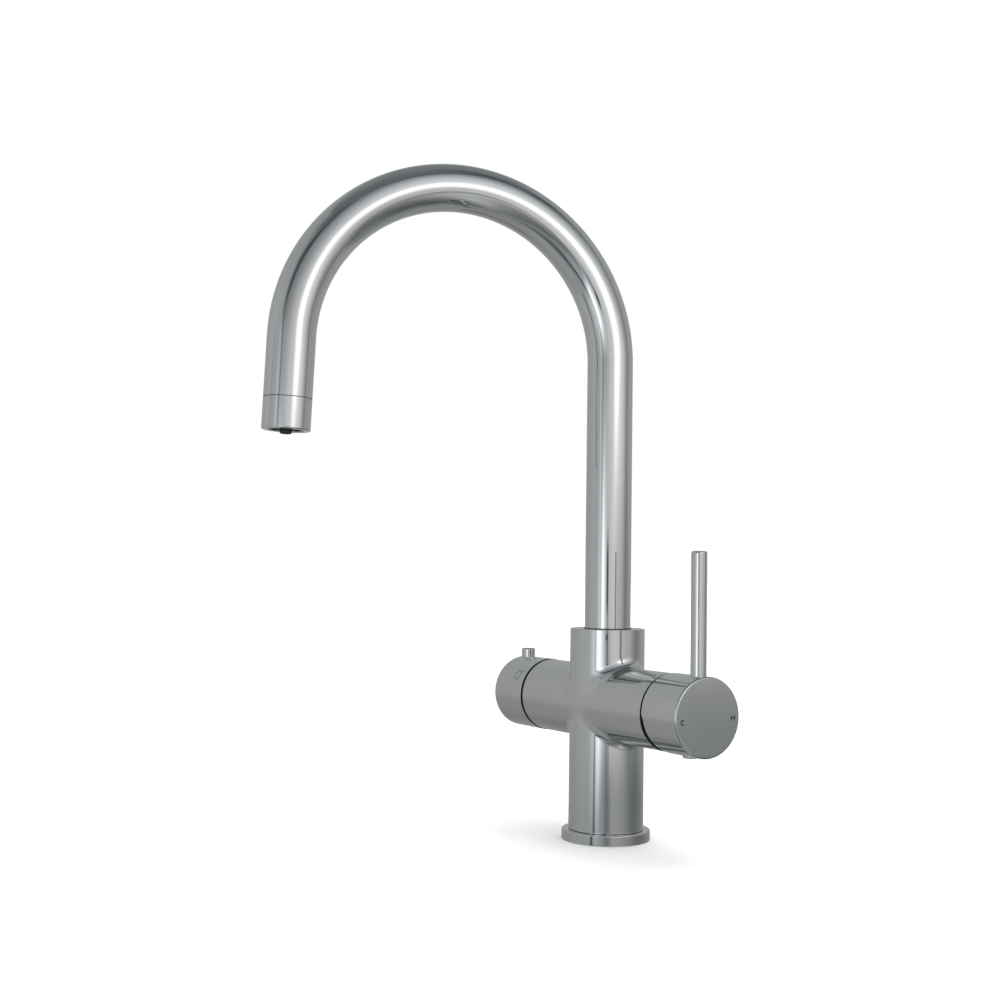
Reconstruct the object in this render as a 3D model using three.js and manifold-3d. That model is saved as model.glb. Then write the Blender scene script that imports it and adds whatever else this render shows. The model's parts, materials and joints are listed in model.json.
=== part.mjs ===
// Three-in-one boiling water tap: one upright body with a horizontal arm to each side, a swivelling
// swan-neck spout, a mixer lever on the +X arm and a push-and-turn boiling knob on the -X arm.
// Millimetres, +Z up. The origin is the centre of the base's underside, the user stands at -Y.
import * as THREE from 'three';
import { mergeVertices } from 'three/addons/utils/BufferGeometryUtils.js';
import Module from 'manifold-3d';

const wasm = await Module();
wasm.setup();

// ---------------------------------------------------------------- driving dimensions
const GAP = 0.3;              // clearance between touching pieces
const BODY_R = 22.77;         // upright body
const BODY_TOP = 127.57;
const FLANGE_R = 26.86;       // base flange
const FLANGE_H = 6.2;
const SPIGOT_R = 20.0;        // foot of the body inside the flange
const ARM_R = 22.55;          // horizontal arms
const AXIS_Z = 82.22;         // height of the handle axis
const ARM_RIGHT = 63.76;      // arm ends
const ARM_LEFT = 61.4;
const CAP_R = 22.85;          // both end caps
const CAP_FACE = 96.5;        // outer face of the mixer cap
const CAP_RIM = 65.45;        // its rim
const CAP_RELIEF = 1.45;      // the lower half of the rim stands back by this, for the tilt
const KNOB_RIM = 63.7;        // boiling knob
const KNOB_FACE = 95.4;
const ROD_R = 4.5;            // mixer lever rod
const ROD_X = 88.0;
const ROD_TOP = 174.8;
const PIN_R = 4.4;            // thumb pin of the boiling knob
const PIN_X = 90.5;
const PIN_TOP = 110.5;
const PLUG_X = 81.5;          // plug over the cap's grub screw
const PLUG_R = 4.5;
const PLUG_BOTTOM = 58.35;
const TUBE_R = 14.0;          // spout tube
const TUBE_WALL = 1.5;
const TUBE_FOOT = 118.0;      // lower end, inside the body
const BEND_Z = 290.2;         // where the bend starts
const BEND_R = 99.63;
const BEND_DEG = 177.64;
const TAIL = 54.0;            // straight end, nozzle ring included
const NOZZLE_L = 18.3;
const NOZZLE_BORE = 10.2;
const OUTLET_R = 3.55;        // boiling outlet in the middle of the nozzle
const OUTLET_PROUD = 2.0;
const SPOUT_DEG = -11.24;     // how far the spout is turned from straight ahead
const SWIVEL_DEG = 70;        // the stop groove allows this much each way
const SPOUT_BORE_R = 14.4;    // bore of the body for the spout's foot
const SPOUT_BORE_Z = 97.0;
const MIXER_BORE_R = 18.0;    // cartridge chamber
const MIXER_FLOOR = 30.0;
const PIVOT_X = 47.5;         // tilt axis of the mixer lever
const BOIL_BORE_R = 15.0;     // boiling headwork chamber
const BOIL_FLOOR = 34.0;

// ---------------------------------------------------------------- finishes
const finish = (color, roughness, metalness) => () =>
  new THREE.MeshStandardMaterial({ color, roughness, metalness });
const chrome = finish(0xb9bcbe, 0.06, 1.0);
const brass = finish(0xb08d4a, 0.35, 1.0);
const steel = finish(0x8d9093, 0.3, 1.0);
const rubber = finish(0x1b1b1c, 0.8, 0.0);
const blackPlastic = finish(0x141516, 0.45, 0.0);
const whitePlastic = finish(0xe4e4df, 0.5, 0.0);
const ceramic = finish(0xf0efe9, 0.25, 0.0);
const silicone = finish(0xd8d6d0, 0.6, 0.0);

// ---------------------------------------------------------------- helpers
// One closed surface with shared vertices, no empty triangles, faces pointing out.
function tidy(geometry) {
  const loose = geometry.index ? geometry.toNonIndexed() : geometry.clone();
  for (const key of Object.keys(loose.attributes)) if (key !== 'position') loose.deleteAttribute(key);
  loose.clearGroups();
  const merged = mergeVertices(loose, 1e-4);
  const p = merged.attributes.position;
  const src = merged.index.array;
  const keep = [];
  let volume = 0;
  const a = new THREE.Vector3(), b = new THREE.Vector3(), c = new THREE.Vector3();
  for (let i = 0; i < src.length; i += 3) {
    const [i0, i1, i2] = [src[i], src[i + 1], src[i + 2]];
    if (i0 === i1 || i1 === i2 || i0 === i2) continue;
    keep.push(i0, i1, i2);
    a.fromBufferAttribute(p, i0); b.fromBufferAttribute(p, i1); c.fromBufferAttribute(p, i2);
    volume += a.dot(b.clone().cross(c));
  }
  if (volume < 0) for (let i = 0; i < keep.length; i += 3) [keep[i], keep[i + 1]] = [keep[i + 1], keep[i]];
  merged.setIndex(keep);
  return merged;
}

function solid(geometry) {
  const g = tidy(geometry);
  return new wasm.Manifold(new wasm.Mesh({
    numProp: 3,
    vertProperties: new Float32Array(g.attributes.position.array),
    triVerts: new Uint32Array(g.index.array),
  }));
}

function surface(body) {
  const m = body.getMesh();
  const g = new THREE.BufferGeometry();
  g.setAttribute('position', new THREE.BufferAttribute(new Float32Array(m.vertProperties), 3));
  g.setIndex(Array.from(m.triVerts));
  return g;
}

// A turned piece about Z. The profile is [radius, height] pairs, and it either starts and ends on
// the axis or is closed by returning to its first point.
function turned(profile, n = 32) {
  const pts = profile.map(([r, h]) => new THREE.Vector2(r, h));
  const onAxis = profile[0][0] === 0 && profile[profile.length - 1][0] === 0;
  if (!onAxis) pts.push(pts[0].clone());
  return new THREE.LatheGeometry(pts, n).rotateX(Math.PI / 2);
}
// A plain tube between two heights.
const sleeve = (rIn, rOut, z0, z1, n = 32) => turned([[rIn, z0], [rOut, z0], [rOut, z1], [rIn, z1]], n);
// An O-ring of section radius c on mean radius r.
function oRing(r, c, z, n = 18, m = 6) {
  const profile = [];
  for (let i = 0; i < m; i++) {
    const t = (i / m) * Math.PI * 2 + Math.PI / m;
    profile.push([r + c * Math.cos(t), z + c * Math.sin(t)]);
  }
  return turned(profile, n);
}
const barZ = (r, z0, z1, n = 16, x = 0, y = 0) =>
  new THREE.CylinderGeometry(r, r, z1 - z0, n).rotateX(Math.PI / 2).translate(x, y, (z0 + z1) / 2);
const barX = (r, x0, x1, n = 16, y = 0, z = 0) =>
  new THREE.CylinderGeometry(r, r, x1 - x0, n).rotateZ(-Math.PI / 2).translate((x0 + x1) / 2, y, z);
const barY = (r, y0, y1, n = 16, x = 0, z = 0) =>
  new THREE.CylinderGeometry(r, r, y1 - y0, n).translate(x, (y0 + y1) / 2, z);
const block = (x0, x1, y0, y1, z0, z1) =>
  new THREE.BoxGeometry(x1 - x0, y1 - y0, z1 - z0).translate((x0 + x1) / 2, (y0 + y1) / 2, (z0 + z1) / 2);
const cut = (base, ...tools) => tools.reduce((s, t) => s.subtract(solid(t)), base.getMesh ? base : solid(base));
const join = (base, ...more) => more.reduce((s, t) => s.add(t.getMesh ? t : solid(t)), base.getMesh ? base : solid(base));

// An annular sector between two heights, centred on the +Y direction.
function sector(rIn, rOut, halfDeg, z0, z1, n = 24) {
  const a0 = THREE.MathUtils.degToRad(90 - halfDeg), a1 = THREE.MathUtils.degToRad(90 + halfDeg);
  const pts = [];
  for (let i = 0; i <= n; i++) { const a = a0 + (a1 - a0) * i / n; pts.push(new THREE.Vector2(rOut * Math.cos(a), rOut * Math.sin(a))); }
  for (let i = n; i >= 0; i--) { const a = a0 + (a1 - a0) * i / n; pts.push(new THREE.Vector2(rIn * Math.cos(a), rIn * Math.sin(a))); }
  return new THREE.ExtrudeGeometry(new THREE.Shape(pts), { depth: z1 - z0, bevelEnabled: false }).translate(0, 0, z0);
}

// ---------------------------------------------------------------- scene graph
const tap = new THREE.Group();
const spout = new THREE.Group();                 // turned about Z as the tap stands
spout.rotation.z = THREE.MathUtils.degToRad(SPOUT_DEG);
const tip = new THREE.Group();                   // local Z runs up into the spout from its rim
const mixer = new THREE.Group();                 // local Z points out of the right arm, local -X is up
mixer.position.z = AXIS_Z;
mixer.rotation.y = Math.PI / 2;
const boiler = new THREE.Group();                // local Z points out of the left arm, local +X is up
boiler.position.z = AXIS_Z;
boiler.rotation.y = -Math.PI / 2;
tap.add(spout, mixer, boiler);
spout.add(tip);

function piece(parent, name, shape, material) {
  const mesh = new THREE.Mesh(shape.getMesh ? surface(shape) : tidy(shape), material());
  mesh.name = name;
  parent.add(mesh);
  return mesh;
}

// ---------------------------------------------------------------- body, base and inlets
const INLETS = { cold_inlet_union: [6.5, -8], hot_inlet_union: [6.5, 8], boiling_inlet_union: [-10.5, 0] };
const STUDS = [[-7, -13], [-7, 13]];             // tapped holes for the fixing studs
{
  const upright = turned([[0, 0], [SPIGOT_R, 0], [SPIGOT_R, FLANGE_H + GAP], [BODY_R, FLANGE_H + GAP],
    [BODY_R, BODY_TOP - 0.8], [BODY_R - 0.8, BODY_TOP], [0, BODY_TOP]], 40);
  const arms = turned([[0, -ARM_LEFT], [ARM_R - 0.6, -ARM_LEFT], [ARM_R, -ARM_LEFT + 0.6],
    [ARM_R, ARM_RIGHT - 0.8], [ARM_R - 0.8, ARM_RIGHT], [0, ARM_RIGHT]], 40)
    .rotateY(Math.PI / 2).translate(0, 0, AXIS_Z);
  const tools = [
    barZ(SPOUT_BORE_R, SPOUT_BORE_Z, BODY_TOP + 1, 24),                       // spout bore
    barZ(15.3, 121.0, BODY_TOP + 1, 24),                                      // seat of the glide ring
    barX(MIXER_BORE_R, MIXER_FLOOR, ARM_RIGHT + 1, 28, 0, AXIS_Z),            // mixer chamber
    barX(BOIL_BORE_R, -ARM_LEFT - 1, -BOIL_FLOOR, 24, 0, AXIS_Z),             // boiling chamber
    barY(2.8, 10, BODY_R + 1, 12, 0, 109),                                    // stop screw
    // mixed water: out of the mixer chamber and up into the spout bore
    barX(3.0, 9, MIXER_FLOOR + 1, 8, 0, AXIS_Z + 8),
    barZ(3.0, AXIS_Z + 8, SPOUT_BORE_Z + 1, 8, 9, 0),
    // boiling water: out of its chamber to the nipple on the axis
    barX(2.2, -BOIL_FLOOR - 1, 0, 8, 0, AXIS_Z + 5),
    barZ(2.2, AXIS_Z + 5, 92, 8),
    barZ(3.6, 91, SPOUT_BORE_Z + 1, 12),
    // supplies: up from the base, then across to the chambers
    barZ(2.2, 9, AXIS_Z - 4, 8, 6.5, -8), barX(2.2, 6.5, MIXER_FLOOR + 1, 8, -8, AXIS_Z - 4),
    barZ(2.2, 9, AXIS_Z - 4, 8, 6.5, 8), barX(2.2, 6.5, MIXER_FLOOR + 1, 8, 8, AXIS_Z - 4),
    barZ(2.2, 9, AXIS_Z - 5, 8, -10.5, 0), barX(2.2, -BOIL_FLOOR - 1, -10.5, 8, 0, AXIS_Z - 5),
  ];
  for (const [x, y] of Object.values(INLETS)) tools.push(barZ(4.5, -1, 10.3, 12, x, y));
  for (const [x, y] of STUDS) tools.push(barZ(2.5, -1, 14, 8, x, y));
  piece(tap, 'tap_body', cut(join(upright, arms), ...tools), chrome);
}
for (const [name, [x, y]] of Object.entries(INLETS)) {
  const union = piece(tap, name, sleeve(2.2, 4.2, 0, 10, 12), brass);
  union.position.set(x, y, 0);
}
piece(tap, 'base_flange', turned([[SPIGOT_R + 0.35, 0], [21.8, 0], [21.8, 2.0], [25.0, 2.0], [25.0, 0],
  [FLANGE_R - 0.4, 0], [FLANGE_R, 0.4], [FLANGE_R, FLANGE_H - 0.8], [FLANGE_R - 0.8, FLANGE_H],
  [SPIGOT_R + 0.35, FLANGE_H]], 36), chrome);
piece(tap, 'base_seal', turned([[22.1, 0], [24.7, 0], [24.7, 1.7], [22.1, 1.7]], 24), rubber);

// ---------------------------------------------------------------- spout
const BEND = THREE.MathUtils.degToRad(BEND_DEG);
const BEND_STEPS = 22;
// The spout's centre line in its own plane, which leans towards local -Y. One step for each
// straight run and equal steps round the bend.
class SpoutLine extends THREE.Curve {
  constructor(z0, endGap) { super(); this.z0 = z0; this.tail = TAIL - endGap; }
  state(t) {
    const k = t * (BEND_STEPS + 2);
    if (k <= 1) return { s: 0, z: this.z0 + (BEND_Z - this.z0) * k, a: 0 };
    const a = Math.min(k - 1, BEND_STEPS) / BEND_STEPS * BEND;
    const end = Math.max(0, k - 1 - BEND_STEPS) * this.tail;
    return { s: BEND_R * (1 - Math.cos(a)) + end * Math.sin(a), z: BEND_Z + BEND_R * Math.sin(a) + end * Math.cos(a), a };
  }
  getPoint(t, target = new THREE.Vector3()) { const q = this.state(t); return target.set(0, -q.s, q.z); }
  getPointAt(u, target) { return this.getPoint(u, target); }
  getTangent(t, target = new THREE.Vector3()) { const { a } = this.state(t); return target.set(0, -Math.sin(a), Math.cos(a)); }
  getTangentAt(u, target) { return this.getTangent(u, target); }
}
const circle = (r, n) => Array.from({ length: n }, (_, i) =>
  new THREE.Vector2(r * Math.cos(i / n * 2 * Math.PI), r * Math.sin(i / n * 2 * Math.PI)));
function pipe(rOut, rIn, n, z0, endGap) {
  const section = new THREE.Shape(circle(rOut, n));
  section.holes.push(new THREE.Path(circle(rIn, n)));
  return new THREE.ExtrudeGeometry(section, { steps: BEND_STEPS + 2, extrudePath: new SpoutLine(z0, endGap), bevelEnabled: false });
}
piece(spout, 'spout_tube', pipe(TUBE_R, TUBE_R - TUBE_WALL, 24, TUBE_FOOT, NOZZLE_L + GAP), chrome);
piece(spout, 'boiling_hose', pipe(4.0, 2.8, 8, 101.0, 16.4), silicone);

// Foot of the spout: it carries the O-rings, and its groove runs against the stop screw.
piece(spout, 'spout_base_insert', cut(turned([
  [9.0, 100.3], [13.6, 100.3], [14.0, 100.7], [14.0, 102.0], [11.9, 102.0], [11.9, 104.4], [14.0, 104.4],
  [14.0, 113.3], [11.9, 113.3], [11.9, 115.7], [14.0, 115.7], [14.0, 117.7], [12.1, 117.7], [12.1, 131.0],
  [9.0, 131.0]], 20), sector(11.0, 16, SWIVEL_DEG + 11, 106.6, 111.4)), brass);
piece(spout, 'spout_lower_oring', oRing(13.15, 0.92, 103.2), rubber);
piece(spout, 'spout_upper_oring', oRing(13.15, 0.92, 114.5), rubber);
piece(tap, 'spout_glide_ring', turned([[14.35, 121.3], [15.0, 121.3], [15.0, 127.9], [14.35, 127.9]], 24), blackPlastic);
// Grub screw in the back of the body that keeps the spout in and stops its swivel.
{
  const screw = cut(turned([[0, 11.5], [1.8, 11.5], [1.8, 14.2], [2.5, 14.9], [2.5, 22.2], [0, 22.2]], 12),
    new THREE.CylinderGeometry(1.45, 1.45, 3, 6).rotateX(Math.PI / 2).translate(0, 0, 22.2));
  const mesh = piece(tap, 'spout_stop_screw', screw, steel);
  mesh.position.set(0, 0, 109);
  mesh.rotation.x = -Math.PI / 2;                // local Z points to +Y
}
piece(tap, 'boiling_nipple', turned([[1.5, 91.4], [3.2, 91.4], [3.2, 97.3], [5.0, 97.3], [5.0, 99.8],
  [2.5, 99.8], [2.5, 111.5], [2.1, 112], [1.5, 112]], 10), brass);

// Nozzle, in the tip's own frame.
tip.position.set(0, -(BEND_R * (1 - Math.cos(BEND)) + TAIL * Math.sin(BEND)),
  BEND_Z + BEND_R * Math.sin(BEND) + TAIL * Math.cos(BEND));
tip.rotation.x = -(Math.PI - BEND);
piece(tip, 'nozzle_ring', turned([[NOZZLE_BORE, 0], [13.1, 0], [13.73, 0.27], [TUBE_R, 0.9], [TUBE_R, NOZZLE_L],
  [12.1, NOZZLE_L], [12.1, 27], [9.2, 27], [9.2, 14.2], [NOZZLE_BORE, 14.2]], 28), chrome);
{
  let insert = solid(sleeve(3.9, 9.85, 1.6, 13.9, 20));
  for (let i = 0; i < 8; i++) {
    const a = (i + 0.5) / 8 * 2 * Math.PI;
    insert = insert.subtract(solid(barZ(0.9, 0, 15, 6, 7 * Math.cos(a), 7 * Math.sin(a))));
  }
  piece(tip, 'aerator', insert, blackPlastic);
}
piece(tip, 'boiling_outlet', turned([[2.3, -OUTLET_PROUD], [3.2, -OUTLET_PROUD], [OUTLET_R, -OUTLET_PROUD + 0.35],
  [OUTLET_R, 16.1], [2.5, 16.1], [2.5, 25.5], [2.1, 26], [1.6, 26], [1.6, 6], [2.3, 4]], 12), blackPlastic);

// ---------------------------------------------------------------- mixer, right arm (local Z = world X)
const up = (d) => -d;                            // world height above the handle axis, as local X
const ports = (z0, z1, r) => [barZ(r, z0, z1, 8, up(8), 0), barZ(r, z0, z1, 8, up(-4), -8), barZ(r, z0, z1, 8, up(-4), 8)];
piece(mixer, 'mixer_base_seal', cut(barZ(17.6, 30.3, 31.8, 24), ...ports(29, 33, 2.6)), rubber);
piece(mixer, 'mixer_cartridge_housing', cut(turned([[0, 32.1], [17.6, 32.1], [17.6, 54.5], [10.5, 54.5],
  [10.5, 52.0], [15.0, 52.0], [15.0, 34.1], [0, 34.1]], 28), ...ports(31, 35, 2.6)), whitePlastic);
piece(mixer, 'mixer_fixed_disc', cut(barZ(14.6, 34.4, 37.4, 24), ...ports(33, 38, 2.4)), ceramic);
piece(mixer, 'mixer_moving_disc', cut(barZ(10.5, 37.7, 41.7, 20),
  barZ(7.0, 37.0, 38.5, 20, up(1.5), 0), barZ(3.3, 39.2, 42.5, 12)), ceramic);
piece(mixer, 'mixer_carrier', cut(turned([[0, 42.0], [14.6, 42.0], [14.6, 51.7], [10.0, 51.7], [10.0, 57.0], [0, 57.0]], 24),
  block(up(6.4), up(-6.4), -3.1, 3.1, 41, 58),
  block(up(6.4), up(-8.3), -4.4, 4.4, 47.8, 58),
  barY(1.8, -13.6, 13.6, 12, 0, PIVOT_X)), whitePlastic);
piece(mixer, 'mixer_pivot_pin', barY(1.5, -13.2, 13.2, 12, 0, PIVOT_X), steel);
piece(mixer, 'mixer_lever_stem', cut(join(barZ(2.4, 39.8, 44.5, 12), block(-4, 4, -2.7, 2.7, 43.5, 50.6), block(-4, 4, -4, 4, 50.0, 85.5)),
  barY(1.8, -4, 4, 12, 0, PIVOT_X)), steel);
piece(mixer, 'mixer_retaining_nut', cut(sleeve(12.0, 17.6, 54.8, 61.6, 28),
  block(-18.5, -11, -2, 2, 59.6, 62), block(11, 18.5, -2, 2, 59.6, 62)), brass);
{
  // Cap: a cup whose rim stands back round its lower half, which swings in under the arm.
  const cup = turned([[20.0, CAP_RIM + 4.5], [21.6, CAP_RIM], [CAP_R, CAP_RIM],
    [CAP_R, CAP_FACE - 1.2], [CAP_R - 1.2, CAP_FACE], [0, CAP_FACE], [0, 82.5], [20.0, 82.5]].reverse(), 40);
  const boss = barZ(9.0, 70.0, 83.5, 16);
  const relief = block(up(-2.5), up(-24), -30, 30, 60, CAP_RIM + CAP_RELIEF);
  const rod = new THREE.CylinderGeometry(ROD_R + 0.3, ROD_R + 0.3, 20, 16).rotateZ(Math.PI / 2).translate(up(24), 0, ROD_X);
  const plug = new THREE.CylinderGeometry(PLUG_R + 0.3, PLUG_R + 0.3, 12, 16).rotateZ(Math.PI / 2).translate(up(-21), 0, PLUG_X);
  const screw = new THREE.CylinderGeometry(2.8, 2.8, 14, 10).rotateZ(Math.PI / 2).translate(up(-10.5), 0, PLUG_X);
  piece(mixer, 'mixer_cap', cut(join(cup, boss), relief, block(-4.3, 4.3, -4.3, 4.3, 69, 86.0), rod, plug, screw), chrome);
}
{
  // Lever rod, upright in the top of the cap, with a rounded end.
  const foot = 14.3 + AXIS_Z;
  const mesh = piece(tap, 'mixer_rod', turned([[0, foot], [ROD_R, foot], [ROD_R, ROD_TOP - 1.3], [ROD_R - 0.4, ROD_TOP - 0.5],
    [ROD_R - 1.3, ROD_TOP], [0, ROD_TOP]], 16), chrome);
  mesh.position.x = ROD_X;
}
{
  const length = AXIS_Z - PLUG_BOTTOM;
  const plug = piece(mixer, 'mixer_screw_plug', turned([[0, 15.4], [PLUG_R, 15.4], [PLUG_R, length - 0.7], [PLUG_R - 0.7, length], [0, length]], 16), chrome);
  plug.position.z = PLUG_X;
  plug.rotation.y = Math.PI / 2;                 // local Z points down in the world
  const grub = piece(mixer, 'mixer_cap_screw', cut(turned([[0, 4.4], [1.6, 4.4], [2.5, 5.4], [2.5, 12], [0, 12]], 12),
    new THREE.CylinderGeometry(1.45, 1.45, 5, 6).rotateX(Math.PI / 2).translate(0, 0, 12)), steel);
  grub.position.z = PLUG_X;
  grub.rotation.y = Math.PI / 2;
}

// ---------------------------------------------------------------- boiling side, left arm (local Z = world -X, local +X = up)
piece(boiler, 'boiling_headwork', turned([[10.0, 34.4], [14.6, 34.4], [14.6, 54.0], [4.7, 54.0], [4.7, 44.0], [10.0, 44.0]], 24), brass);
piece(boiler, 'boiling_fixed_disc', cut(barZ(9.6, 34.8, 37.8, 20), barZ(2.2, 34, 39, 8, 5, 0), barZ(2.2, 34, 39, 8, -5, 0)), ceramic);
piece(boiler, 'boiling_moving_disc', cut(barZ(9.6, 38.1, 41.1, 20), barZ(2.2, 37, 42, 8, 0, 5), barZ(2.2, 37, 42, 8, 0, -5)), ceramic);
piece(boiler, 'boiling_spindle', join(turned([[0, 41.4], [8.0, 41.4], [8.0, 43.7], [4.3, 43.7], [4.3, 47.3], [3.0, 47.3],
  [3.0, 48.9], [4.3, 48.9], [4.3, 58.8], [7.0, 58.8], [7.0, 60.3], [4.2, 60.3], [4.2, 61.0], [0, 61.0]], 16),
  block(-3, 3, -3, 3, 60.5, 68.5), barZ(2.2, 68.0, 74.5, 12), block(-3, 3, -3, 3, 74.0, 77.0)), brass);
piece(boiler, 'boiling_spindle_oring', oRing(3.85, 0.5, 48.1, 14), rubber);
piece(boiler, 'boiling_retaining_nut', cut(sleeve(8.0, 14.6, 54.3, 60.6, 24),
  block(-15.5, -7.5, -2, 2, 58.8, 61), block(7.5, 15.5, -2, 2, 58.8, 61)), brass);
{
  class Coil extends THREE.Curve {
    getPoint(t, target = new THREE.Vector3()) {
      const a = t * 2.5 * 2 * Math.PI;
      return target.set(5.4 * Math.cos(a), 5.4 * Math.sin(a), 61.2 + 3.9 * t);
    }
  }
  piece(boiler, 'boiling_return_spring', new THREE.ExtrudeGeometry(new THREE.Shape(circle(0.5, 5)),
    { steps: 30, extrudePath: new Coil(), bevelEnabled: false }), steel);
}
{
  const cup = turned([[19.5, KNOB_RIM], [CAP_R - 0.6, KNOB_RIM], [CAP_R, KNOB_RIM + 0.6], [CAP_R, KNOB_FACE - 0.7],
    [CAP_R - 0.7, KNOB_FACE], [0, KNOB_FACE], [0, 85.0], [19.5, 85.0]], 40);
  const boss = barZ(6.8, 66.2, 86.0, 16);
  const seat = new THREE.CylinderGeometry(PIN_R + 0.3, PIN_R + 0.3, 4, 16).rotateZ(Math.PI / 2).translate(24.0, 0, PIN_X);
  const shank = new THREE.CylinderGeometry(2.3, 2.3, 9, 8).rotateZ(Math.PI / 2).translate(18.5, 0, PIN_X);
  const screwHole = barY(1.7, 0, 24, 8, 0, 72);
  piece(boiler, 'boiling_knob', cut(join(cup, boss), block(-3.3, 3.3, -3.3, 3.3, 65, 80), seat, shank, screwHole), chrome);
}
{
  const top = PIN_TOP - AXIS_Z;
  const pin = piece(boiler, 'boiling_knob_pin', turned([[0, 14.4], [2.0, 14.4], [2.0, 22.3], [PIN_R, 22.3], [PIN_R, top - 0.9],
    [PIN_R - 0.9, top], [0, top]], 16), chrome);
  pin.position.z = PIN_X;
  pin.rotation.y = Math.PI / 2;                  // local Z points up in the world here
  const grub = piece(boiler, 'boiling_knob_screw', cut(turned([[0, 2.6], [0.9, 2.6], [1.4, 3.1], [1.4, 6.6], [0, 6.6]], 10),
    new THREE.CylinderGeometry(0.75, 0.75, 3, 6).rotateX(Math.PI / 2).translate(0, 0, 6.6)), steel);
  grub.position.z = 72;
  grub.rotation.x = -Math.PI / 2;                // local Z points to +Y
}

export default tap;
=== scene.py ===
# Looks of the three-in-one boiling water tap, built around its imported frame.
import bpy, bmesh, json, math
import numpy as np
from mathutils import Vector, Matrix
from mathutils.bvhtree import BVHTree
from mathutils.interpolate import poly_3d_calc


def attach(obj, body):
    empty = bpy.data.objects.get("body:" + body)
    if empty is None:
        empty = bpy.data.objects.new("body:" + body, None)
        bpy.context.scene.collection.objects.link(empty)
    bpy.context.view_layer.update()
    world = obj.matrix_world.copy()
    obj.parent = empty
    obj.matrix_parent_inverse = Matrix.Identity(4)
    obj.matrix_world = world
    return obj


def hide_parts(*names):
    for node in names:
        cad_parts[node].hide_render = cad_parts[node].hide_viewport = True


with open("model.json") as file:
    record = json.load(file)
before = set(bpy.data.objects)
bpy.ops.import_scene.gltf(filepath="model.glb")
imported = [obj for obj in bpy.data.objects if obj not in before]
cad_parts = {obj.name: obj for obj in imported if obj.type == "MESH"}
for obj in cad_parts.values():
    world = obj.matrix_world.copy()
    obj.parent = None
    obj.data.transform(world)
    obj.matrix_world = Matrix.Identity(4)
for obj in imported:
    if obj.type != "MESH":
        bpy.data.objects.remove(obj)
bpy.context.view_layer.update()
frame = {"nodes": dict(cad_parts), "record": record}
scene = bpy.context.scene
MM = 0.001

# ---------------------------------------------------------------- sizes, in millimetres, as the frame has them
BODY_R, BODY_TOP, BODY_FOOT = 22.77, 127.57, 6.5
ARM_R, AXIS_Z, ARM_RIGHT, ARM_LEFT = 22.55, 82.22, 63.76, 61.4
FLANGE_R, FLANGE_H, SPIGOT_R = 26.86, 6.2, 20.0
CAP_R, CAP_FACE, CAP_RIM, CAP_RELIEF = 22.85, 96.5, 65.45, 1.5
KNOB_RIM, KNOB_FACE = 63.35, 95.4
ROD_R, ROD_X, ROD_TOP = 4.5, 88.0, 174.8
PIN_R, PIN_X, PIN_TOP = 4.4, 90.5, 110.5
PLUG_X, PLUG_R, PLUG_BOTTOM = 81.5, 4.5, 58.35
TUBE_R, TUBE_IN, TUBE_FOOT = 14.0, 12.5, 118.0
BEND_Z, BEND_R, BEND, TAIL, NOZZLE_L = 290.2, 99.63, math.radians(177.64), 54.0, 18.3
SPOUT = math.radians(-11.24)


# ---------------------------------------------------------------- mesh helpers
def build(name, verts, faces, normals, material, body, replaces=()):
    """A mesh object from points in millimetres, faces, and one normal for each face corner."""
    me = bpy.data.meshes.new(name)
    me.from_pydata([tuple(float(c) * MM for c in v) for v in verts], [], faces, shade_flat=False)
    me.update()
    if normals is not None:
        me.normals_split_custom_set([tuple(map(float, n)) for n in normals])
    ob = bpy.data.objects.new(name, me)
    scene.collection.objects.link(ob)
    if material:
        me.materials.append(material)
    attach(ob, body)
    if replaces:
        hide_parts(*replaces)
    return ob


def rounded(points, steps=8):
    """A profile of straight runs with rounded corners. points holds (r, h) or (r, h, corner radius).
    Returns the segments as (point, normal, point, normal), normals to the right of the way along."""
    pts = [np.array(p[:2], float) for p in points]
    rad = [p[2] if len(p) > 2 else 0.0 for p in points]
    runs, arcs = [], []
    cuts = [(p, p) for p in pts]
    for i in range(1, len(pts) - 1):
        if rad[i] <= 0:
            continue
        a, b = pts[i - 1] - pts[i], pts[i + 1] - pts[i]
        la, lb = np.linalg.norm(a), np.linalg.norm(b)
        a, b = a / la, b / lb
        half = math.acos(max(-1, min(1, float(a @ b)))) / 2
        d = rad[i] / math.tan(half)
        centre = pts[i] + (a + b) / np.linalg.norm(a + b) * (rad[i] / math.sin(half))
        cuts[i] = (pts[i] + a * d, pts[i] + b * d)
        arcs.append((i, centre))
    segs = []
    for i in range(len(pts) - 1):
        p, q = cuts[i][1], cuts[i + 1][0]
        if np.linalg.norm(q - p) > 1e-6:
            t = (q - p) / np.linalg.norm(q - p)
            n = np.array([t[1], -t[0]])
            segs.append((p, n, q, n))
        for j, c in arcs:
            if j == i + 1:
                u, v = cuts[j][0] - c, cuts[j][1] - c
                r = np.linalg.norm(u)
                a0, a1 = math.atan2(u[1], u[0]), math.atan2(v[1], v[0])
                turn = (a1 - a0 + math.pi) % (2 * math.pi) - math.pi
                sign = 1.0 if turn > 0 else -1.0
                prev = None
                for k in range(steps + 1):
                    a = a0 + turn * k / steps
                    e = np.array([math.cos(a), math.sin(a)])
                    cur = (c + r * e, e * sign)
                    if prev is not None:
                        segs.append((prev[0], prev[1], cur[0], cur[1]))
                    prev = cur
    return segs


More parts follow.
